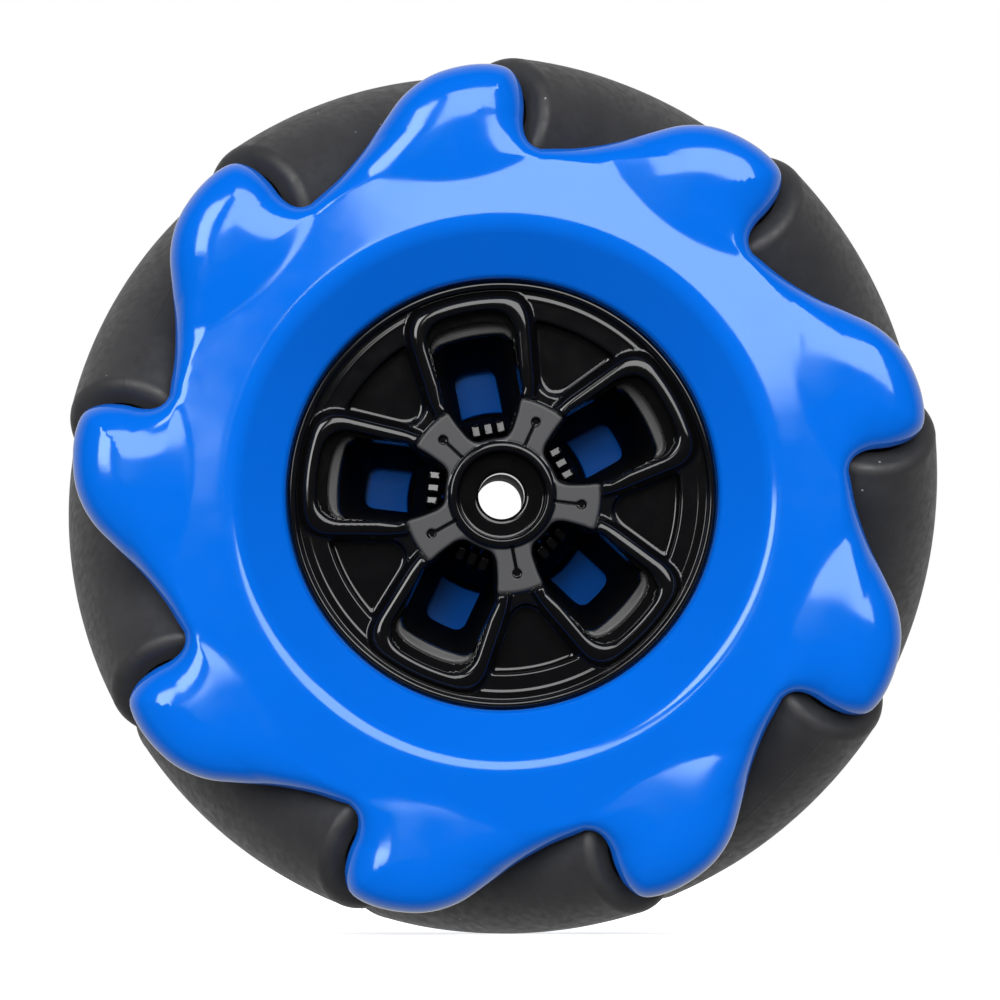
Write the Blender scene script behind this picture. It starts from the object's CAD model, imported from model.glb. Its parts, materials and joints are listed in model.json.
"""Mecanum wheel: the looks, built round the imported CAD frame.

Lengths are millimetres until new_piece() turns them into metres. The wheel's axis is Y and its outer face
looks to -Y. Points round the wheel are (radius, angle, y), the angle in radians, clockwise from +Z as seen
from the front. Moulded parts are distance fields, meshed on a polar grid and drawn onto their surface.
"""

import json
import math

import bpy
import numpy as np
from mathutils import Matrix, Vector


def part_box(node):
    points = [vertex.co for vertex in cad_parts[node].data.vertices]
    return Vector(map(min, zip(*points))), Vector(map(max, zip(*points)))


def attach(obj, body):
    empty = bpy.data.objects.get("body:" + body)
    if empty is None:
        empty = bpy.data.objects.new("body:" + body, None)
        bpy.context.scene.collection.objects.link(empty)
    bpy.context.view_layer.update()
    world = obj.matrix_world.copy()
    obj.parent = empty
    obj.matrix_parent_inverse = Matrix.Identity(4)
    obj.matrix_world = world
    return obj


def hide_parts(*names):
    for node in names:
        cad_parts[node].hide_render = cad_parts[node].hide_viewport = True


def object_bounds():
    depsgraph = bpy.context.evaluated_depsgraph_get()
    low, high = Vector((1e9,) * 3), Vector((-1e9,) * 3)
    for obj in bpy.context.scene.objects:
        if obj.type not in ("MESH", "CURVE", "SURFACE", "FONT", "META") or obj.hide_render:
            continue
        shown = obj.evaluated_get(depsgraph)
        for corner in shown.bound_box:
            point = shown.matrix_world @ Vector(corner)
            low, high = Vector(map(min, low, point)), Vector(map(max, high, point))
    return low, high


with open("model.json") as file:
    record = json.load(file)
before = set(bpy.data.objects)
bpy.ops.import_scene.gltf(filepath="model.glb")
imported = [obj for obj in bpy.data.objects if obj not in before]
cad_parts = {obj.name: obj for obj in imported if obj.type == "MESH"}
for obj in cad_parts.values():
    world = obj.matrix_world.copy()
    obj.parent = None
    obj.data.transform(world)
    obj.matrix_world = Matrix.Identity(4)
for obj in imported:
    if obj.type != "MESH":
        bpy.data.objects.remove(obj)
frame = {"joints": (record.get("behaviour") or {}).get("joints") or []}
cad_box = [list(corner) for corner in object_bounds()]

MM = 0.001
ROLLERS = 9
PITCH = 2 * math.pi / ROLLERS
SPOKES = 5
SECTOR = 2 * math.pi / SPOKES

joint = frame["joints"][0]
ROLLER_PHASE = math.atan2(joint["pos_m"][0], joint["pos_m"][2])
AXIS_RADIUS = math.hypot(joint["pos_m"][0], joint["pos_m"][2]) / MM
WHEEL_RADIUS = 40.0


def box_mm(node):
    """A node's lowest and highest corners in millimetres."""
    return np.array([list(corner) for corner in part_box(node)]) / MM


SPLIT_GAP = box_mm("rear_shell")[0][1]
SCREW_AT = [box_mm(f"rim_screw_{i + 1}").mean(0) for i in range(SPOKES)]
SPOKE_PHASE = math.atan2(SCREW_AT[0][0], SCREW_AT[0][2])


# --- Distance fields --------------------------------------------------------------------------------

FAR = 1e9


def smooth_min(a, b, k):
    """The union of two fields, with a fillet about k wide."""
    h = np.maximum(k - np.abs(a - b), 0)
    return np.minimum(a, b) - h * h / (4 * k)


def smooth_max(a, b, k):
    """What two fields share, with its edge rounded about k wide."""
    return -smooth_min(-a, -b, k)


def rounded_box(u, v, low, high, radius):
    """A rectangle in two directions, from low to high corner, with rounded corners."""
    du = np.abs(u - (low[0] + high[0]) / 2) - (high[0] - low[0]) / 2 + radius
    dv = np.abs(v - (low[1] + high[1]) / 2) - (high[1] - low[1]) / 2 + radius
    outside = np.hypot(np.maximum(du, 0), np.maximum(dv, 0))
    return outside + np.minimum(np.maximum(du, dv), 0) - radius


def side_of(u, v, start, end):
    """The distance past a line, to the left of the way from start to end."""
    du, dv = end[0] - start[0], end[1] - start[1]
    length = math.hypot(du, dv)
    return ((v - start[1]) * du - (u - start[0]) * dv) / length


def curve_through(points, steps):
    """A smooth open curve through points, steps to each span."""
    points = np.array(points, float)
    padded = np.vstack([2 * points[0] - points[1], points, 2 * points[-1] - points[-2]])
    t = np.linspace(0, 1, steps, endpoint=False)[:, None]
    spans = []
    for a, b, c, d in zip(padded, padded[1:], padded[2:], padded[3:]):
        bend = (2 * a - 5 * b + 4 * c - d) * t**2 + (3 * b - a - 3 * c + d) * t**3
        spans.append(0.5 * (2 * b + (c - a) * t + bend))
    return np.vstack(spans + [points[-1:]])


def distance_to_line(x, z, line):
    """The plain distance from points to an open line of straight pieces."""
    best = np.full(np.broadcast(x, z).shape, FAR)
    for (ax, az), (bx, bz) in zip(line, line[1:]):
        dx, dz = bx - ax, bz - az
        share = np.clip(((x - ax) * dx + (z - az) * dz) / (dx * dx + dz * dz), 0, 1)
        best = np.minimum(best, (x - ax - share * dx) ** 2 + (z - az - share * dz) ** 2)
    return np.sqrt(best)


# --- Polar surface nets -----------------------------------------------------------------------------

CORNERS = [(i, j, k) for i in (0, 1) for j in (0, 1) for k in (0, 1)]
EDGES = [(a, b) for a in CORNERS for b in CORNERS if sum(abs(p - q) for p, q in zip(a, b)) == 1 and a < b]


def to_flat(polar):
    """(radius, angle, y) rows as x, y, z rows."""
    r, angle, y = polar.T
    return np.column_stack([r * np.sin(angle), y, r * np.cos(angle)])


def turned(angle):
    """The matrix that turns rows of points round the Y axis."""
    c, s = math.cos(angle), math.sin(angle)
    return np.array([[c, 0, -s], [0, 1, 0], [s, 0, c]])


def value_at(field, points):
    """The field at x, y, z rows."""
    x, y, z = points.T
    return field(np.hypot(x, z), np.arctan2(x, z), y)


def slope_at(field, points, step=0.02):
    """The field's gradient at x, y, z rows."""
    slope = np.empty_like(points)
    for axis in range(3):
        shift = np.zeros(3)
        shift[axis] = step
        slope[:, axis] = value_at(field, points + shift) - value_at(field, points - shift)
    return slope / (2 * step)


def net_cells(inside):
    """Which grid cells the surface passes through."""
    r, a, y = (n - 1 for n in inside.shape)
    count = sum(inside[i : r + i, j : a + j, k : y + k].astype(int) for i, j, k in CORNERS)
    return (count > 0) & (count < 8)


def net_points(f, inside, base):
    """One point in each cell, in grid steps: the middle of where the surface crosses the cell's edges."""
    total = np.zeros(base.shape)
    hits = np.zeros(len(base))
    for a, b in EDGES:
        fa = f[tuple((base + a).T)]
        fb = f[tuple((base + b).T)]
        crossed = (fa < 0) != (fb < 0)
        share = np.where(crossed, fa / np.where(crossed, fa - fb, 1), 0)[:, None]
        total += crossed[:, None] * (np.array(a) + share * (np.array(b) - np.array(a)))
        hits += crossed
    return base + total / hits[:, None]


def net_quads(inside, index, steps, count):
    """A quad round each grid edge that the surface crosses. Points of the sector before are below 0."""
    found = []
    for axis in range(3):
        low = [slice(None)] * 3
        high = [slice(None)] * 3
        low[axis] = slice(None, -1)
        high[axis] = slice(1, None)
        crossing = np.argwhere(inside[tuple(low)] != inside[tuple(high)])
        inner = (crossing[:, 1] < steps) & ((crossing[:, 0] > 0) | (axis == 0))
        crossing = crossing[inner]
        u, v = (axis + 1) % 3, (axis + 2) % 3
        corners = []
        for du, dv in ((-1, -1), (0, -1), (0, 0), (-1, 0)):
            cell = crossing.copy()
            cell[:, u] += du
            cell[:, v] += dv
            before = cell[:, 1] < 0
            cell[:, 1] %= steps
            corners.append(index[tuple(cell.T)] - before * count)
        quad = np.column_stack(corners)
        flip = ~inside[tuple(crossing.T)]
        quad[flip] = quad[flip][:, ::-1]
        found.append(quad)
    return np.vstack(found)


def pull_onto(field, points, longest):
    """Moves points along the field's slope until they lie on its surface."""
    for _ in range(4):
        slope = slope_at(field, points)
        size = np.maximum(np.linalg.norm(slope, axis=1), 1e-3)
        move = np.clip(-value_at(field, points) / size, -longest, longest)
        points = points + slope * (move / size)[:, None]
    return points


def polar_net(field, radii, heights, steps, folds):
    """Meshes a field that repeats folds times round the axis: points, quads and normals."""
    sector = 2 * math.pi / folds
    angles = np.arange(steps + 1) * sector / steps
    r, angle, y = np.meshgrid(radii, angles, heights, indexing="ij", sparse=True)
    f = np.array(np.broadcast_to(field(r, angle, y), (len(radii), steps + 1, len(heights))))
    f[:, -1] = f[:, 0]
    inside = f < 0
    cells = net_cells(inside)
    base = np.argwhere(cells)
    count = len(base)
    index = np.full(cells.shape, -1)
    index[cells] = np.arange(count)
    at = net_points(f, inside, base)
    quads = net_quads(inside, index, steps, count)
    radius = np.interp(at[:, 0], np.arange(len(radii)), radii)
    height = np.interp(at[:, 2], np.arange(len(heights)), heights)
    points = to_flat(np.column_stack([radius, at[:, 1] * sector / steps, height]))
    points = pull_onto(field, points, 0.5 * min(np.diff(radii).min(), np.diff(heights).min()))
    normals = slope_at(field, points)
    normals /= np.linalg.norm(normals, axis=1, keepdims=True)

    all_points, all_normals, all_quads = [], [], []
    for fold in range(folds):
        turn = turned(fold * sector)
        all_points.append(points @ turn)
        all_normals.append(normals @ turn)
        all_quads.append((quads + fold * count) % (count * folds))
    return np.vstack(all_points), np.vstack(all_quads), np.vstack(all_normals)


# --- Pieces -----------------------------------------------------------------------------------------

SHARP_ANGLE = math.radians(35)


def new_piece(name, points, faces, material, replaces, body="wheel", normals=None):
    """A mesh object from millimetre points that rides on a body and stands for a CAD node."""
    mesh = bpy.data.meshes.new(name)
    mesh.from_pydata((np.asarray(points) * MM).tolist(), [], [list(face) for face in faces])
    mesh.shade_smooth()
    if normals is None:
        mesh.set_sharp_from_angle(angle=SHARP_ANGLE)
    else:
        mesh.normals_split_custom_set_from_vertices(normals.tolist())
    mesh.materials.append(material)
    piece = bpy.data.objects.new(name, mesh)
    bpy.context.scene.collection.objects.link(piece)
    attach(piece, body)
    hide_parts(replaces)


def lathe(profile, turns):
    """A closed body from a closed (radius, along) profile, as rows of (side, along, side) and faces."""
    profile = np.array(profile, float)
    rows, columns = len(turns), len(profile)
    turns = np.asarray(turns)[:, None]
    along = np.broadcast_to(profile[:, 1], (rows, columns))
    points = np.dstack([profile[:, 0] * np.sin(turns), along, profile[:, 0] * np.cos(turns)])
    i, j = np.meshgrid(np.arange(rows), np.arange(columns), indexing="ij")
    i2, j2 = (i + 1) % rows, (j + 1) % columns
    faces = np.dstack([i * columns + j, i2 * columns + j, i2 * columns + j2, i * columns + j2])
    return points.reshape(-1, 3), faces.reshape(-1, 4)


def even_turns(count):
    """Turns evenly spaced round a circle."""
    return np.arange(count) * 2 * math.pi / count


# --- Materials --------------------------------------------------------------------------------------


RANGE_INPUTS = ("From Min", "From Max", "To Min", "To Max")
# Where the rim's finish changes: each fade runs from one radius or Y to the next.
MATT_FROM_Y = (-6.7, -5.7)
SATIN_PAD_FROM = (4.9, 5.1)
SATIN_PAD_TO = (8.9, 9.1)
SATIN_PAD_Y = (-12.35, -12.2)
SATIN_LEDGE_FROM = (14.4, 14.6)
SATIN_LEDGE_FROM_Y = (-7.6, -7.4)
SATIN_LEDGE_TO_Y = (-6.9, -6.8)


class Look:
    """A procedural material on the Principled shader, its textures laid out in millimetres."""

    def __init__(self, name, color, roughness, metallic=0.0):
        self.material = bpy.data.materials.new(name)
        self.material.use_nodes = True
        self.tree = self.material.node_tree
        self.shader = self.tree.nodes["Principled BSDF"]
        self.shader.inputs["Base Color"].default_value = (*color, 1)
        self.shader.inputs["Roughness"].default_value = roughness
        self.shader.inputs["Metallic"].default_value = metallic
        self.color = color
        coordinates = self.tree.nodes.new("ShaderNodeTexCoord")
        scale = self.tree.nodes.new("ShaderNodeVectorMath")
        scale.operation = "SCALE"
        scale.inputs["Scale"].default_value = 1 / MM
        self.join(coordinates.outputs["Object"], scale.inputs[0])
        self.place = scale.outputs[0]

    def join(self, output, entry):
        """Leads a node's output to another node's input."""
        self.tree.links.new(output, entry)

    def axes(self):
        """The three coordinates, in millimetres."""
        node = self.tree.nodes.new("ShaderNodeSeparateXYZ")
        self.join(self.place, node.inputs[0])
        return node.outputs

    def noise(self, size, detail=3.0):
        """Smooth noise with features about size millimetres across."""
        node = self.tree.nodes.new("ShaderNodeTexNoise")
        node.inputs["Scale"].default_value = 1 / size
        node.inputs["Detail"].default_value = detail
        self.join(self.place, node.inputs["Vector"])
        return node.outputs["Fac"]

    def remap(self, value, low, high, new_low, new_high):
        """Turns the range low to high into new_low to new_high, and keeps the ends beyond it."""
        node = self.tree.nodes.new("ShaderNodeMapRange")
        self.join(value, node.inputs["Value"])
        for name, number in zip(RANGE_INPUTS, (low, high, new_low, new_high)):
            node.inputs[name].default_value = number
        return node.outputs["Result"]

    def math(self, operation, a, b):
        """One step of arithmetic on outputs or plain numbers."""
        node = self.tree.nodes.new("ShaderNodeMath")
        node.operation = operation
        for entry, value in zip(node.inputs, (a, b)):
            if isinstance(value, float):
                entry.default_value = value
            else:
                self.join(value, entry)
        return node.outputs[0]

    def specks(self, spacing, radius, share):
        """1 on small round specks scattered over the surface, and 0 between them."""
        node = self.tree.nodes.new("ShaderNodeTexVoronoi")
        node.inputs["Scale"].default_value = 1 / spacing
        self.join(self.place, node.inputs["Vector"])
        near = self.remap(node.outputs["Distance"], radius * 0.5 / spacing, radius / spacing, 1, 0)
        split = self.tree.nodes.new("ShaderNodeSeparateColor")
        self.join(node.outputs["Color"], split.inputs["Color"])
        chosen = self.math("LESS_THAN", split.outputs["Red"], share)
        return self.math("MULTIPLY", near, chosen)

    def tint(self, amount, color):
        """Mixes the colour towards another where amount is high."""
        node = self.tree.nodes.new("ShaderNodeMix")
        node.data_type = "RGBA"
        self.join(amount, node.inputs["Factor"])
        entry = self.shader.inputs["Base Color"]
        if entry.is_linked:
            self.join(entry.links[0].from_socket, node.inputs["A"])
        else:
            node.inputs["A"].default_value = (*self.color, 1)
        node.inputs["B"].default_value = (*color, 1)
        self.join(node.outputs["Result"], entry)

    def roughen(self, value, low, high):
        """Lets the roughness follow a value that runs from about 0.3 to 0.7."""
        self.join(self.remap(value, 0.3, 0.7, low, high), self.shader.inputs["Roughness"])

    def bump(self, value, depth):
        """Raises the surface by depth millimetres where a value is 1."""
        node = self.tree.nodes.new("ShaderNodeBump")
        node.inputs["Strength"].default_value = 1.0
        node.inputs["Distance"].default_value = depth * MM
        self.join(value, node.inputs["Height"])
        entry = self.shader.inputs["Normal"]
        if entry.is_linked:
            self.join(entry.links[0].from_socket, node.inputs["Normal"])
        self.join(node.outputs["Normal"], entry)


def glossy_blue():
    """Polished plastic, very slightly uneven, with a few specks of dust."""
    look = Look("glossy_blue", (0.0, 0.122, 0.63), 0.12)
    look.shader.inputs["Specular IOR Level"].default_value = 0.65
    look.shader.inputs["Specular Tint"].default_value = (0.74, 1, 1, 1)
    look.tint(look.remap(look.noise(9), 0.35, 0.65, 0, 0.35), (0.0, 0.114, 0.59))
    look.roughen(look.noise(2.5), 0.08, 0.13)
    look.bump(look.noise(3.5, 1.0), 0.004)
    look.bump(look.specks(6, 0.14, 0.25), 0.03)
    return look.material


def glossy_black():
    """Polished on the face of the wheel, satin on its pads and ledges, and matt inside its windows."""
    look = Look("glossy_black", (0.003, 0.003, 0.0035), 0.12)
    look.tint(look.specks(3.5, 0.1, 0.3), (0.12, 0.12, 0.12))
    look.roughen(look.noise(1.5), 0.06, 0.1)
    axes = look.axes()
    squares = [look.math("MULTIPLY", axes[side], axes[side]) for side in "XZ"]
    radius = look.math("SQRT", look.math("ADD", *squares), 0.0)

    # Each zone is 1 inside and 0 outside.
    y = axes["Y"]
    inside = look.remap(y, *MATT_FROM_Y, 0, 1)
    ring = [look.remap(radius, *SATIN_PAD_FROM, 0, 1), look.remap(radius, *SATIN_PAD_TO, 1, 0)]
    pad = look.math("MULTIPLY", look.math("MULTIPLY", *ring), look.remap(y, *SATIN_PAD_Y, 1, 0))
    layer = [look.remap(y, *SATIN_LEDGE_FROM_Y, 0, 1), look.remap(y, *SATIN_LEDGE_TO_Y, 1, 0)]
    outer = look.remap(radius, *SATIN_LEDGE_FROM, 0, 1)
    ledge = look.math("MULTIPLY", look.math("MULTIPLY", *layer), outer)
    satin = look.math("MAXIMUM", pad, ledge)
    rough = look.shader.inputs["Roughness"]
    look.tint(pad, (0.035, 0.035, 0.037))
    look.tint(ledge, (0.065, 0.065, 0.065))
    dull = look.math("MAXIMUM", look.math("MULTIPLY", inside, 0.7), look.math("MULTIPLY", satin, 0.42))
    look.join(look.math("MAXIMUM", rough.links[0].from_socket, dull), rough)
    look.join(look.remap(inside, 0, 1, 0.5, 0.1), look.shader.inputs["Specular IOR Level"])
    look.bump(look.noise(2.2, 1.0), 0.003)
    return look.material


def satin_rubber():
    """Dull rubber with paler patches and specks."""
    look = Look("satin_rubber", (0.026, 0.026, 0.028), 0.5)
    look.tint(look.remap(look.noise(4, 4.0), 0.4, 0.75, 0, 0.5), (0.045, 0.045, 0.047))
    look.tint(look.specks(1.9, 0.13, 0.22), (0.28, 0.28, 0.27))
    look.roughen(look.noise(0.8), 0.42, 0.6)
    look.bump(look.noise(0.18, 2.0), 0.012)
    look.bump(look.specks(1.9, 0.13, 0.22), 0.03)
    return look.material


def black_nylon():
    """Plain satin plastic for the rollers' cores."""
    look = Look("black_nylon", (0.012, 0.012, 0.013), 0.45)
    look.tint(look.remap(look.noise(3), 0.4, 0.7, 0, 0.5), (0.02, 0.02, 0.021))
    look.roughen(look.noise(0.6), 0.38, 0.55)
    look.bump(look.noise(0.3), 0.008)
    return look.material


def turned_metal(name, color, dark, low, high):
    """Bare metal with faint darker patches, its roughness from low to high."""
    look = Look(name, color, low, 1.0)
    look.tint(look.remap(look.noise(1.2, 4.0), 0.45, 0.75, 0, 0.6), dark)
    look.roughen(look.noise(0.25, 2.0), low, high)
    look.bump(look.noise(0.12, 2.0), 0.003)
    return look.material


blue = glossy_blue()
black = glossy_black()
rubber = satin_rubber()
nylon = black_nylon()
bronze = turned_metal("bronze", (0.05, 0.037, 0.026), (0.03, 0.024, 0.018), 0.45, 0.6)
steel = turned_metal("steel", (0.6, 0.61, 0.63), (0.45, 0.45, 0.46), 0.18, 0.34)

# --- Shells -----------------------------------------------------------------------------------------

# One lobe's edge, from its root over the tip and down: the radius and the clock angle of each point.
LOBE_OUTLINE = [
    (31.55, 6.8),
    (32.05, 12),
    (33.45, 17.6),
    (35.3, 22.0),
    (37.3, 26.2),
    (38.6, 30.7),
    (39.1, 36),
    (38.8, 40.4),
    (37.4, 42.4),
    (35.3, 43.3),
    (33.3, 43.5),
    (32.3, 44.1),
    (31.75, 45.1),
    (31.5, 46.3),
]
EDGE_ROUND = 1.6
# How the front rolls off towards a lobe's edge, and the radii between which that sets in.
ROLL_WIDTH = 5.5
ROLL_DEPTH = 1.6
ROLL_START = (30.5, 34.0)
# Rings, here and below, are rectangles of (radius, y) from one corner to the other.
DRUM = ((20.0, -14.0), (22.6, -SPLIT_GAP))
LEDGE = ((18.6, -11.6), (20.4, -9.6))
PLATEAU_INNER = 24.4
PLATEAU_Y = -18.5
PLATEAU_SLOPE = 0.13
PLATE_BACK = -12.4
TIP_START = 33.0
TIP_FALL = 0.03
DISH_BOTTOM = (19.5, -14.4)
MOUTH_RADIUS = 19.7
# A lobe's dome: its middle in polar form, its crown, its tilt, and half its length and width with
# how far it falls away over each.
DOME_RADIUS = 35.4
DOME_ANGLE = math.radians(31.4)
DOME_Y = -18.25
DOME_TILT = math.radians(18.5)
DOME_SIZE = (9.0, 7.15)
DOME_FALL = (0.68, 0.28)
# A claw is a round block on the roller's own axis, with room for the roller and a hole for its pin. Places
# along that axis start at the roller's middle.
CLAW_RADIUS = 8.3
CLAW_START = -21.4
CLAW_END = -13.2
CLAW_FRONT = -15.0
CLAW_ROUND = 1.5
CHEEK = -16.9
ROOM_GAP = 0.4
ROOM_SLANT = 0.97
ROOM_ROUND = 1.8
ROOM_EDGE = 0.7
PIN_HOLE = 1.56
PIN_END = -19.3
FILLET = 1.0
SIN_45 = math.sqrt(0.5)


def barrel_radius(along):
    """The roller radius that just reaches the wheel's ground circle, at distances along the roller."""
    turn = np.linspace(-math.pi / 2, math.pi / 2, 181)
    side = np.sin(turn) * SIN_45
    up = np.cos(turn)
    along = np.asarray(along, float)[..., None] * SIN_45
    a = side**2 + up**2
    b = along * side + AXIS_RADIUS * up
    c = along**2 + AXIS_RADIUS**2 - WHEEL_RADIUS**2
    return ((np.sqrt(b * b - a * c) - b) / a).min(-1)


STATIONS = np.linspace(-22, 22, 89)
BARREL = barrel_radius(STATIONS)


def lobe_line():
    """One lobe's edge as a smooth line of x, z points."""
    points = [(r * math.sin(math.radians(a)), r * math.cos(math.radians(a))) for r, a in LOBE_OUTLINE]
    return curve_through(points, 4)


LOBE_LINE = lobe_line()


def lobe_distance(r, angle):
    """The flat signed distance to the lobed outline."""
    first = math.radians(LOBE_OUTLINE[0][1])
    local = np.mod(angle - first, PITCH) + first
    line_angle = np.arctan2(LOBE_LINE[:, 0], LOBE_LINE[:, 1])
    line_radius = np.hypot(LOBE_LINE[:, 0], LOBE_LINE[:, 1])
    edge = np.interp(local, line_angle, line_radius)
    best = np.full(np.broadcast(r, angle).shape, FAR)
    for turn in (-PITCH, 0, PITCH):
        x = r * np.sin(local + turn)
        z = r * np.cos(local + turn)
        best = np.minimum(best, distance_to_line(x, z, LOBE_LINE))
    return np.where(r < edge, -best, best)


def dome_front(r, angle):
    """The Y of the low dome on the nearest lobe."""
    local = np.mod(angle - DOME_ANGLE + PITCH / 2, PITCH) - PITCH / 2
    across, up = r * np.sin(local), r * np.cos(local) - DOME_RADIUS
    u = (across * math.cos(DOME_TILT) + up * math.sin(DOME_TILT)) / DOME_SIZE[0]
    v = (across * math.sin(DOME_TILT) - up * math.cos(DOME_TILT)) / DOME_SIZE[1]
    return DOME_Y + DOME_FALL[0] * u * u + DOME_FALL[1] * v * v


def shell_field(r, angle, y):
    """The front shell: drum, ledge, dish and lobed plate, with a claw round the end of each roller.

    A slanted wall's field, here and in the rim, is scaled down to about its true distance.
    """
    lobe = lobe_distance(r, angle)
    tip = TIP_FALL * np.maximum(r - TIP_START, 0) ** 2
    roll = ROLL_DEPTH * np.clip(1 + lobe / ROLL_WIDTH, 0, 1) ** 3 * np.interp(r, ROLL_START, (0, 1))
    front = PLATEAU_Y + PLATEAU_SLOPE * (r - PLATEAU_INNER) + tip
    front = smooth_min(front, dome_front(r, angle), 0.12) + roll
    plate = smooth_max(front - y, y - PLATE_BACK, FILLET)
    rooms = np.full(plate.shape, FAR)
    for k in (-1, 0, 1):
        local = angle - ROLLER_PHASE - k * PITCH
        across, up = r * np.sin(local), r * np.cos(local)
        along = (across + y) * SIN_45
        off = np.hypot((across - y) * SIN_45, up - AXIS_RADIUS)
        claw = rounded_box(off, along, (-CLAW_RADIUS, CLAW_START), (CLAW_RADIUS, CLAW_END), CLAW_ROUND)
        claw = smooth_max(claw, CLAW_FRONT - y, FILLET)
        plate = smooth_min(plate, claw, FILLET)
        room = off - np.interp(along, STATIONS, BARREL) - ROOM_GAP
        room = smooth_max(room * ROOM_SLANT, CHEEK - along, ROOM_ROUND)
        hole = np.maximum(off - PIN_HOLE, np.maximum(PIN_END - along, along - CHEEK - 1))
        rooms = np.minimum(np.minimum(rooms, room), hole)
    plate = smooth_max(plate, lobe, EDGE_ROUND)
    inward, ahead = PLATEAU_INNER - DISH_BOTTOM[0], DISH_BOTTOM[1] - PLATEAU_Y
    dish = ((r - DISH_BOTTOM[0]) * ahead + (y - DISH_BOTTOM[1]) * inward) / -math.hypot(inward, ahead)
    plate = smooth_max(plate, dish, 0.9)
    plate = smooth_max(plate, MOUTH_RADIUS - r, 0.4)
    body = smooth_min(plate, rounded_box(r, y, *DRUM, 0.3), FILLET)
    body = smooth_min(body, rounded_box(r, y, *LEDGE, 0.2), 0.3)
    return smooth_max(body, -rooms, ROOM_EDGE)


# The rear shell's web: two rings, then a rib and a screw's seat as rectangles of (offset, y).
WEB = ((8.46, 9.6), (19.2, 11.6))
WEB_COLLAR = ((8.46, 10.4), (10.2, 12.2))
WEB_RIB = ((-0.6, 10), (0.6, 12.4))
WEB_RIB_REACH = (9.5, 19)
SCREW_CIRCLE = math.hypot(SCREW_AT[0][0], SCREW_AT[0][2])
SCREW_HOLE = 1.4
SCREW_SEAT = ((-3.3, 10), (3.3, 11.9))


def web_field(r, angle, y):
    """The disc across the rear shell that the rim is screwed to."""
    turn = np.mod(angle - SPOKE_PHASE + SECTOR / 2, SECTOR) - SECTOR / 2
    side, along = r * np.sin(turn), r * np.cos(turn)
    from_screw = np.hypot(side, along - SCREW_CIRCLE)
    web = smooth_min(rounded_box(r, y, *WEB, 0.2), rounded_box(r, y, *WEB_COLLAR, 0.3), 0.4)
    rib = rounded_box(np.abs(np.abs(turn) - SECTOR / 2) * r, y, *WEB_RIB, 0.3)
    rib = smooth_max(rib, np.maximum(WEB_RIB_REACH[0] - r, r - WEB_RIB_REACH[1]), 0.3)
    web = smooth_min(web, rib, 0.5)
    web = smooth_min(web, rounded_box(from_screw, y, *SCREW_SEAT, 0.25), 0.3)
    return smooth_max(web, SCREW_HOLE - from_screw, 0.2)


def make_shells():
    """The front shell, the rear shell, which is the front one turned over, and the rear shell's web."""
    radii = np.arange(17.7, 41.2, 0.35)
    heights = np.concatenate([np.arange(-19.3, -12, 0.3), np.arange(-11.9, 0.41, 0.5)])
    points, quads, normals = polar_net(shell_field, radii, heights, steps=60, folds=ROLLERS)
    new_piece("front_shell_moulding", points, quads, blue, "front_shell", normals=normals)
    axis = np.array([math.sin(ROLLER_PHASE), 0, math.cos(ROLLER_PHASE)])
    over = 2 * np.outer(axis, axis) - np.eye(3)
    points, normals = points @ over, normals @ over
    new_piece("rear_shell_moulding", points, quads, blue, "rear_shell", normals=normals)
    radii, heights = np.arange(8.1, 20, 0.35), np.arange(9.1, 13.2, 0.3)
    points, quads, normals = polar_net(web_field, radii, heights, steps=64, folds=SPOKES)
    new_piece("rear_shell_web", points, quads, blue, "rear_shell", normals=normals)


make_shells()

# --- Rim --------------------------------------------------------------------------------------------

# Half a window: its side as (distance out, distance across), and the radius of its outer end.
WINDOW = [(5.3, 1.7), (8.5, 3.45), (16.2, 4.35)]
WINDOW_END = 16.9
BAND_Y = -12.2
RIM_BACK = 9.3
BARREL_RING = ((-1, BAND_Y), (18.3, RIM_BACK))
BAND_RING = ((17.8, BAND_Y), (19.4, -11.9))
LIP_RING = ((18.75, -13.2), (19.45, -11.9))
HUB_RING = ((3.95, -12.9), (4.8, -9))
# The frame round a window: how far it reaches past the window at its crest and at its foot.
RIB = (1.05, 1.65)
RIB_SLANT = 0.8
RIB_Y = -13.0
RIB_SUNK = 0.4
# The flat pad on the inner end of a spoke, and the recess between two frames.
PAD_Y = -12.5
PAD_BACK_Y = -9
PAD_END = 9.0
PAD_GAP = 0.08
POCKET = (10.1, 16.2)
POCKET_Y = -10.4
# Three lugs in the inner end of each window, as rectangles of (across, out).
LUG = ((-0.42, 5.7), (0.42, 6.9))
LUG_SPACING = 1.15
LUG_Y = -8.8
LUG_SLOPE = 0.25
LUG_BACK_Y = 0.5
# The mark cut into a pad: a groove along the spoke, and a dot at its end.
GROOVE_HALF = 0.13
GROOVE_MIDDLE = 6
GROOVE_REACH = 1.25
DOT_AT = 7.3
DOT_RADIUS = 0.42
MARK_DEPTH = 0.45
NUT_SEAT_Y = -9.6
NUT_RADIUS = 3.95
AXLE_BORE = 2.1
# The way through behind a window: two ledges, then a taper.
LEDGE_1_Y = -9.4
LEDGE_2_Y = -7.2
LEDGE_2_END = 16.0
TUNNEL_BACK_Y = 6.4
# The taper's inner end, outer end and half width: each at the second ledge, and its change by the back.
TUNNEL = ((5.3, 2.6), (15.0, -2.5), (3.7, -1.75))
TUNNEL_SLANT = 0.9
# The half width near the hub: where the taper starts, its value there, and how fast it grows outwards.
TUNNEL_NEAR = (5.3, 1.6, 0.55)


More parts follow.
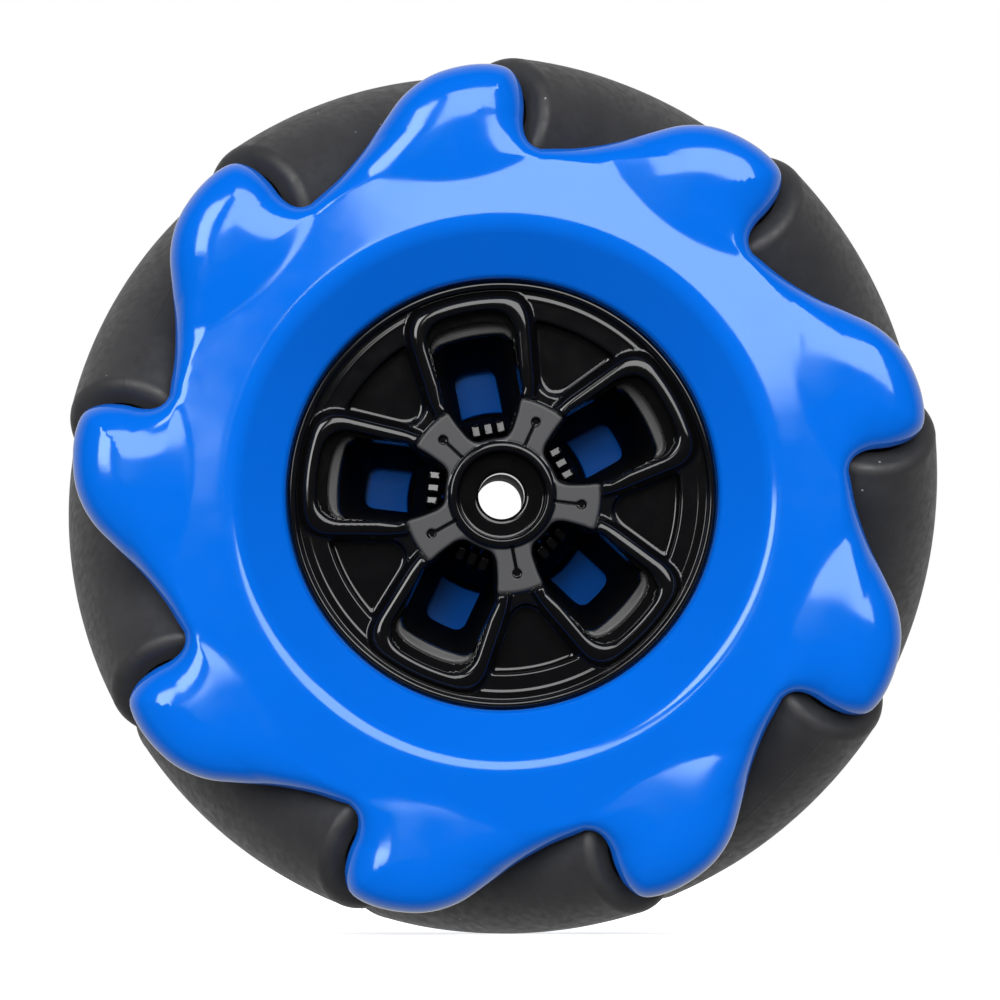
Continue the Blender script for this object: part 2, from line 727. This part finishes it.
def window_distance(r, out, across):
    """Below 0 inside a window, from distances out from the hub and across from the window's middle."""
    near = side_of(out, across, WINDOW[0], WINDOW[1])
    far = side_of(out, across, WINDOW[1], WINDOW[2])
    sides = smooth_max(near, far, 0.8)
    return smooth_max(smooth_max(sides, r - WINDOW_END, 2.4), WINDOW[0][0] - out, 0.8)


def tunnel_field(r, out, across, window, y):
    """The way through the rim behind a window: two steps at its outer end, then a taper."""
    deep = np.clip((y - LEDGE_2_Y) / (TUNNEL_BACK_Y - LEDGE_2_Y), 0, 1)
    mouth = np.maximum(window, y - LEDGE_1_Y)
    step = smooth_max(smooth_max(window + 0.3, r - LEDGE_2_END, 1.2), y - LEDGE_2_Y, 0.3)
    inner, outer, half = (start + change * deep for start, change in TUNNEL)
    half = np.minimum(TUNNEL_NEAR[1] + (out - TUNNEL_NEAR[0]) * TUNNEL_NEAR[2], half)
    sides = smooth_max(across - half, r - outer, 1.0)
    through = smooth_max(sides, inner - r, 0.8) * TUNNEL_SLANT
    return np.minimum(np.minimum(mouth, step), through)


def rim_field(r, angle, y):
    """The rim: five windows in raised frames, pockets between them, a hub, and the barrel round them."""
    turn = np.abs(np.mod(angle - SPOKE_PHASE + SECTOR / 2, SECTOR) - SECTOR / 2)
    side, along = r * np.sin(turn), r * np.cos(turn)
    out, across = r * np.cos(SECTOR / 2 - turn), r * np.sin(SECTOR / 2 - turn)
    window = window_distance(r, out, across)
    body = rounded_box(r, y, *BARREL_RING, 0.3)
    body = smooth_min(body, rounded_box(r, y, *BAND_RING, 0.12), 0.1)
    pocket = smooth_max(smooth_max(RIB[1] - window, POCKET[0] - r, 1.2), r - POCKET[1], 0.5)
    body = smooth_max(body, -smooth_max(pocket, y - POCKET_Y, 0.5), 0.3)
    flare = (RIB[1] - RIB[0]) / (BAND_Y - RIB_Y)
    rib = smooth_max((window - RIB[0] - flare * (y - RIB_Y)) * RIB_SLANT, RIB_Y - y, 0.4)
    rib = smooth_max(rib, np.maximum(PAD_END + 0.1 - r, y - BAND_Y - RIB_SUNK), 0.3)
    body = smooth_min(body, rib, 0.12)
    pad = smooth_max(smooth_max(PAD_GAP - window, r - PAD_END, 0.25), PAD_Y - y, 0.3)
    body = smooth_min(body, np.maximum(pad, y - PAD_BACK_Y), 0.12)
    body = smooth_max(body, -tunnel_field(r, out, across, window, y), 0.45)
    body = smooth_min(body, rounded_box(r, y, *LIP_RING, 0.3), 0.15)
    body = smooth_min(body, rounded_box(r, y, *HUB_RING, 0.25), 0.12)
    lug_top = LUG_Y + LUG_SLOPE * (out - (LUG[0][1] + LUG[1][1]) / 2)
    for middle in (0, LUG_SPACING):
        lug = rounded_box(np.abs(across - middle), out, *LUG, 0.2)
        body = smooth_min(body, smooth_max(lug, np.maximum(lug_top - y, y - LUG_BACK_Y), 0.2), 0.15)
    groove = np.maximum(side - GROOVE_HALF, np.abs(along - GROOVE_MIDDLE) - GROOVE_REACH)
    dot = np.hypot(side, along - DOT_AT) - DOT_RADIUS
    mark = np.maximum(smooth_min(groove, dot, 0.1), y - PAD_Y - MARK_DEPTH)
    body = smooth_max(body, -mark, 0.12)
    recess = smooth_max(r - NUT_RADIUS, y - NUT_SEAT_Y, 0.25)
    body = smooth_max(body, -recess, 0.25)
    return smooth_max(body, AXLE_BORE - r, 0.45)


BOSS_RING = ((0, 9.0), (8.4, 14.4))
HEX_SIDES = 6
HEX_HALF = 6.1


def boss_field(r, angle, y):
    """The rear boss with its hexagonal socket, one flat facing +Z."""
    side = 2 * math.pi / HEX_SIDES
    turn = np.mod(angle + side / 2, side) - side / 2
    return smooth_max(rounded_box(r, y, *BOSS_RING, 0.6), HEX_HALF - r * np.cos(turn), 0.8)


def make_rim():
    """The rim, and the drive boss at its rear."""
    radii = np.concatenate([np.arange(1.8, 9.6, 0.17), np.arange(9.6, 20, 0.17)])
    heights = np.concatenate([np.arange(-13.7, -9, 0.15), np.arange(-8.9, 9.8, 0.6)])
    points, quads, normals = polar_net(rim_field, radii, heights, steps=128, folds=SPOKES)
    new_piece("rim_moulding", points, quads, black, "rim", normals=normals)
    radii, heights = np.arange(5.4, 9, 0.2), np.arange(8.6, 15, 0.2)
    points, quads, normals = polar_net(boss_field, radii, heights, steps=48, folds=HEX_SIDES)
    new_piece("rim_drive_boss", points, quads, black, "rim", normals=normals)


make_rim()

# --- Screws -----------------------------------------------------------------------------------------

HEAD_RADIUS = 2.4
HEAD_Y = (11.9, 13.6)
HEAD_DOME = 5
# The cross recess: its depth, then half the width and length of a slot at its floor and their growth up.
RECESS_DEPTH = 1.1
SLOT_HALF_WIDTH = (0.26, 0.08)
SLOT_HALF_LENGTH = (0.95, 0.3)
# The first screw's turn, and how much further each next one is turned, so that the crosses point every way.
SCREW_TURN = (0.7, 1.9)


def screw_field(r, angle, y):
    """A pan head with a cross recess, looking to +Y."""
    dome = np.hypot(r, y - HEAD_Y[1] + HEAD_DOME) - HEAD_DOME
    head = smooth_max(rounded_box(r, y, (-HEAD_RADIUS, HEAD_Y[0]), (HEAD_RADIUS, 15), 0.2), dome, 0.5)
    u, v = np.abs(r * np.sin(angle)), np.abs(r * np.cos(angle))
    thin, wide = np.minimum(u, v), np.maximum(u, v)
    height = y - HEAD_Y[1] + RECESS_DEPTH
    half_width = SLOT_HALF_WIDTH[0] + SLOT_HALF_WIDTH[1] * height
    half_length = SLOT_HALF_LENGTH[0] + SLOT_HALF_LENGTH[1] * height
    cut = smooth_max(np.maximum(thin - half_width, wide - half_length), -height, 0.15)
    return smooth_max(head, -cut, 0.12)


def close_middle(points, quads, normals):
    """Adds a fan to each small hole that a polar net leaves round its axis."""
    edges = np.vstack([quads[:, [i, (i + 1) % 4]] for i in range(4)])
    known = {tuple(edge) for edge in edges.tolist()}
    rims = [(a, b) for a, b in known if (b, a) not in known]
    faces = quads.tolist()
    levels = sorted({round(float(points[a][1]), 2) for a, _ in rims})
    groups = []
    for level in levels:
        if not groups or level - groups[-1][-1] > 0.3:
            groups.append([])
        groups[-1].append(level)
    for group in groups:
        loop = [(a, b) for a, b in rims if group[0] - 0.01 <= points[a][1] <= group[-1] + 0.01]
        middle = np.array([0, points[[a for a, _ in loop]].mean(0)[1], 0])
        normal = normals[[a for a, _ in loop]].mean(0) * [0, 1, 0]
        faces += [(b, a, len(points)) for a, b in loop]
        points = np.vstack([points, middle])
        normals = np.vstack([normals, normal / np.linalg.norm(normal)])
    return points, faces, normals


def make_screws():
    """One screw head, placed on each screw."""
    radii, heights = np.arange(0.02, 2.8, 0.09), np.arange(11.5, 14.1, 0.09)
    points, faces, normals = close_middle(*polar_net(screw_field, radii, heights, steps=16, folds=4))
    for i, at in enumerate(SCREW_AT):
        spin = turned(SCREW_TURN[0] + SCREW_TURN[1] * i)
        place = np.array([at[0], 0, at[2]])
        new_piece(
            f"screw_head_{i + 1}",
            points @ spin + place,
            faces,
            steel,
            f"rim_screw_{i + 1}",
            normals=normals @ spin,
        )


make_screws()

# --- Rollers ----------------------------------------------------------------------------------------

TYRE_HALF = 15.8
TYRE_BORE = 4.4
LIP_END = 16.3
LIP_INNER = 3.8
LIP_ROUND = 1.1
CORE_RADIUS = 4.2
CORE_BORE = 2.7
PIN_RADIUS = 1.5
PIN_HALF = 19.0
BUSH_RADIUS = 2.5
BUSH_BORE = 1.7
BUSH_FLANGE = 3.6
BUSH_START = 11.0
BUSH_SEAT = 16.0
BUSH_END = 16.6
PARTING_HEIGHT = 0.03
PARTING_STEPS = (-1.6, -0.8, 0, 0.8, 1.6)
PARTING_CLEAR = math.sin(math.radians(2.5))
# How far each tyre is turned from the one before it, so that their parting lines and specks differ.
TYRE_TURN = 2.4


def tyre_profile():
    """The barrel, a round lip at each end that hides the bush, and the bore."""
    inside = LIP_END - LIP_ROUND
    barrel = [(float(barrel_radius(s)), s) for s in np.linspace(-inside, inside, 49)]
    edge = barrel[-1][0] - LIP_ROUND
    lip = []
    for step in range(1, 8):
        turn = step / 8 * math.pi / 2
        lip.append((edge + LIP_ROUND * math.cos(turn), inside + LIP_ROUND * math.sin(turn)))
    inner = [(LIP_INNER + 0.2, LIP_END), (LIP_INNER, LIP_END - 0.2), (LIP_INNER, TYRE_HALF)]
    face = [(edge, LIP_END), *inner, (TYRE_BORE, TYRE_HALF)]
    end = lip + face
    start = [(r, -s) for r, s in reversed(end)]
    return start + barrel + end


def tyre_turns():
    """Turns round a tyre, close together at the two lines where its mould parts."""
    fine = [side + math.radians(d) for side in (0, math.pi) for d in PARTING_STEPS]
    even = [t for t in even_turns(96) if abs(math.sin(t)) > PARTING_CLEAR]
    return np.array(sorted([t % (2 * math.pi) for t in fine] + list(even)))


def raise_parting_line(points, height):
    """Lifts a low ridge where the mould parts, on the outside of the barrel."""
    reach = np.hypot(points[:, 0], points[:, 2])
    on_line = (np.abs(points[:, 0]) < 0.05) & (reach > TYRE_BORE + 0.5)
    points = points.copy()
    points[on_line, 0::2] *= (1 + height / reach[on_line])[:, None]
    return points


def core_profile():
    """A bevelled sleeve, as (radius, along)."""
    end = TYRE_HALF - 0.1
    bevel = 0.35
    return [
        (CORE_BORE, -end + bevel),
        (CORE_BORE + bevel, -end),
        (CORE_RADIUS - bevel, -end),
        (CORE_RADIUS, -end + bevel),
        (CORE_RADIUS, end - bevel),
        (CORE_RADIUS - bevel, end),
        (CORE_BORE + bevel, end),
        (CORE_BORE, end - bevel),
    ]


def bush_profile():
    """A sleeve with a flange at its outer end, as (radius, along)."""
    bevel = 0.15
    return [
        (BUSH_BORE, BUSH_START),
        (BUSH_RADIUS - bevel, BUSH_START),
        (BUSH_RADIUS, BUSH_START + bevel),
        (BUSH_RADIUS, BUSH_SEAT),
        (BUSH_FLANGE - bevel, BUSH_SEAT),
        (BUSH_FLANGE, BUSH_SEAT + bevel),
        (BUSH_FLANGE, BUSH_END - bevel),
        (BUSH_FLANGE - bevel, BUSH_END),
        (BUSH_BORE + bevel, BUSH_END),
        (BUSH_BORE, BUSH_END - bevel),
    ]


def pin_profile():
    """A bevelled rod, as (radius, along)."""
    bevel = 0.3
    tip = 0.02
    return [
        (tip, -PIN_HALF),
        (PIN_RADIUS - bevel, -PIN_HALF),
        (PIN_RADIUS, -PIN_HALF + bevel),
        (PIN_RADIUS, PIN_HALF - bevel),
        (PIN_RADIUS - bevel, PIN_HALF),
        (tip, PIN_HALF),
    ]


def roller_place(k):
    """The roller's own directions as rows, and its middle."""
    place = frame["joints"][k]
    middle = np.array(place["pos_m"]) / MM
    along = np.array(place["axis"])
    out = middle / np.linalg.norm(middle)
    return np.array([np.cross(along, out), along, out]), middle


def make_rollers():
    """Nine rollers, each a tyre on a core between two bushes, and their pins."""
    tyre, tyre_faces = lathe(tyre_profile(), tyre_turns())
    tyre = raise_parting_line(tyre, PARTING_HEIGHT)
    core, core_faces = lathe(core_profile(), even_turns(40))
    bush, bush_faces = lathe(bush_profile(), even_turns(40))
    pin, pin_faces = lathe(pin_profile(), even_turns(32))
    flip = np.diag([1, -1, -1])
    for k in range(ROLLERS):
        n = k + 1
        turn, middle = roller_place(k)
        body = f"roller_{n}"
        pieces = [
            ("tyre", tyre @ turned(k * TYRE_TURN), tyre_faces, rubber, "roller_rubber", "roller_tyre", body),
            ("core", core, core_faces, nylon, "core_nylon", "roller_core", body),
            ("rear_flanged_bush", bush, bush_faces, bronze, "bronze", "rear_bush", body),
            ("front_flanged_bush", bush @ flip, bush_faces, bronze, "bronze", "front_bush", body),
            ("pin", pin, pin_faces, steel, "steel", "roller_pin", "wheel"),
        ]
        for name, points, faces, material, slot, node, rides_on in pieces:
            points = points @ turn + middle
            new_piece(f"{name}_{n}", points, faces, material, f"{node}_{n}", rides_on)


make_rollers()

# --- Stage ------------------------------------------------------------------------------------------


def aim(thing, target):
    """Turns a light or camera to look at a point."""
    thing.rotation_euler = (Vector(target) - thing.location).to_track_quat("-Z", "Y").to_euler()


def softbox(name, azimuth, tilt, distance, size, radiance):
    """A soft light, tilt degrees off the wheel's axis towards a clock angle as the camera sees it."""
    a, t = math.radians(azimuth), math.radians(tilt)
    data = bpy.data.lights.new(name, "AREA")
    data.shape = "RECTANGLE"
    data.size, data.size_y = size
    data.energy = radiance * math.pi * size[0] * size[1]
    light = bpy.data.objects.new(name, data)
    bpy.context.scene.collection.objects.link(light)
    light.location = (
        distance * math.sin(t) * math.sin(a),
        -distance * math.cos(t),
        distance * math.sin(t) * math.cos(a),
    )
    aim(light, (0, 0, 0))
    return light


CAMERA_DISTANCE = 0.8
CAMERA_BELOW = math.radians(2.2)
CAMERA_LEFT = math.radians(0.8)
FRAME_WIDTH = 0.0923
SENSOR_WIDTH = 36
FLOOR_HALF = 2.0
FLOOR_GLOW = 0.75
BACKDROP = 1.0
AMBIENT = 0.34
# What the gloss shows, along Y from in front of the wheel to behind it: a dim studio, then a pale backdrop.
ROOM_FADE = (-0.1, 0.6, 0.035, 0.8)


def make_camera():
    """A long lens, a little below and to the left of the wheel's axis."""
    data = bpy.data.cameras.new("camera")
    data.sensor_width = SENSOR_WIDTH
    data.lens = data.sensor_width * CAMERA_DISTANCE / FRAME_WIDTH
    camera = bpy.data.objects.new("camera", data)
    bpy.context.scene.collection.objects.link(camera)
    camera.location = (
        -CAMERA_DISTANCE * math.sin(CAMERA_LEFT),
        -CAMERA_DISTANCE * math.cos(CAMERA_BELOW),
        -CAMERA_DISTANCE * math.sin(CAMERA_BELOW),
    )
    aim(camera, (0, 0, 0))
    bpy.context.scene.camera = camera


def make_floor():
    """A pale floor that takes the wheel's shadow and throws no light back at it."""
    mesh = bpy.data.meshes.new("floor")
    corners = [(x * FLOOR_HALF, y * FLOOR_HALF, 0) for x, y in ((-1, -1), (1, -1), (1, 1), (-1, 1))]
    mesh.from_pydata(corners, [], [(0, 1, 2, 3)])
    floor = bpy.data.objects.new("floor", mesh)
    bpy.context.scene.collection.objects.link(floor)
    floor.location = (0, 0, cad_box[0][2])
    floor.visible_glossy = False
    floor.visible_diffuse = False
    pale = Look("pale_floor", (0.9, 0.9, 0.9), 0.7)
    pale.roughen(pale.noise(40), 0.65, 0.75)
    pale.shader.inputs["Emission Color"].default_value = (1, 1, 1, 1)
    pale.shader.inputs["Emission Strength"].default_value = FLOOR_GLOW
    mesh.materials.append(pale.material)


def make_world():
    """A white surround: full to the camera, softer as light on the wheel, and a studio in its gloss."""
    world = bpy.data.worlds.new("world")
    bpy.context.scene.world = world
    world.use_nodes = True
    nodes, links = world.node_tree.nodes, world.node_tree.links
    paths = nodes.new("ShaderNodeLightPath")
    backdrop = nodes.new("ShaderNodeBackground")
    backdrop.inputs["Strength"].default_value = BACKDROP
    ambient = nodes.new("ShaderNodeBackground")
    ambient.inputs["Strength"].default_value = AMBIENT
    room = nodes["Background"]
    for shade in (backdrop, ambient, room):
        shade.inputs["Color"].default_value = (1, 1, 1, 1)

    coordinates = nodes.new("ShaderNodeTexCoord")
    axes = nodes.new("ShaderNodeSeparateXYZ")
    links.new(coordinates.outputs["Generated"], axes.inputs[0])
    fade = nodes.new("ShaderNodeMapRange")
    for name, number in zip(RANGE_INPUTS, ROOM_FADE):
        fade.inputs[name].default_value = number
    links.new(axes.outputs["Y"], fade.inputs["Value"])
    links.new(fade.outputs["Result"], room.inputs["Strength"])

    reflected = nodes.new("ShaderNodeMixShader")
    links.new(paths.outputs["Is Glossy Ray"], reflected.inputs["Fac"])
    links.new(ambient.outputs[0], reflected.inputs[1])
    links.new(room.outputs[0], reflected.inputs[2])
    seen = nodes.new("ShaderNodeMixShader")
    links.new(paths.outputs["Is Camera Ray"], seen.inputs["Fac"])
    links.new(reflected.outputs[0], seen.inputs[1])
    links.new(backdrop.outputs[0], seen.inputs[2])
    links.new(seen.outputs[0], nodes["World Output"].inputs["Surface"])


make_camera()
softbox("key", 28, 27, 1.3, (0.95, 0.74), 5.6)
softbox("upper_left", -56, 31, 1.2, (0.38, 0.6), 8)
# These two light the wheel but leave no mark on its gloss.
softbox("front_fill", -45, 8, 1.5, (0.22, 0.22), 30).visible_glossy = False
softbox("behind", -20, 146, 1.3, (0.8, 0.6), 4.0).visible_glossy = False
make_floor()
make_world()
bpy.context.scene.view_settings.view_transform = "Standard"
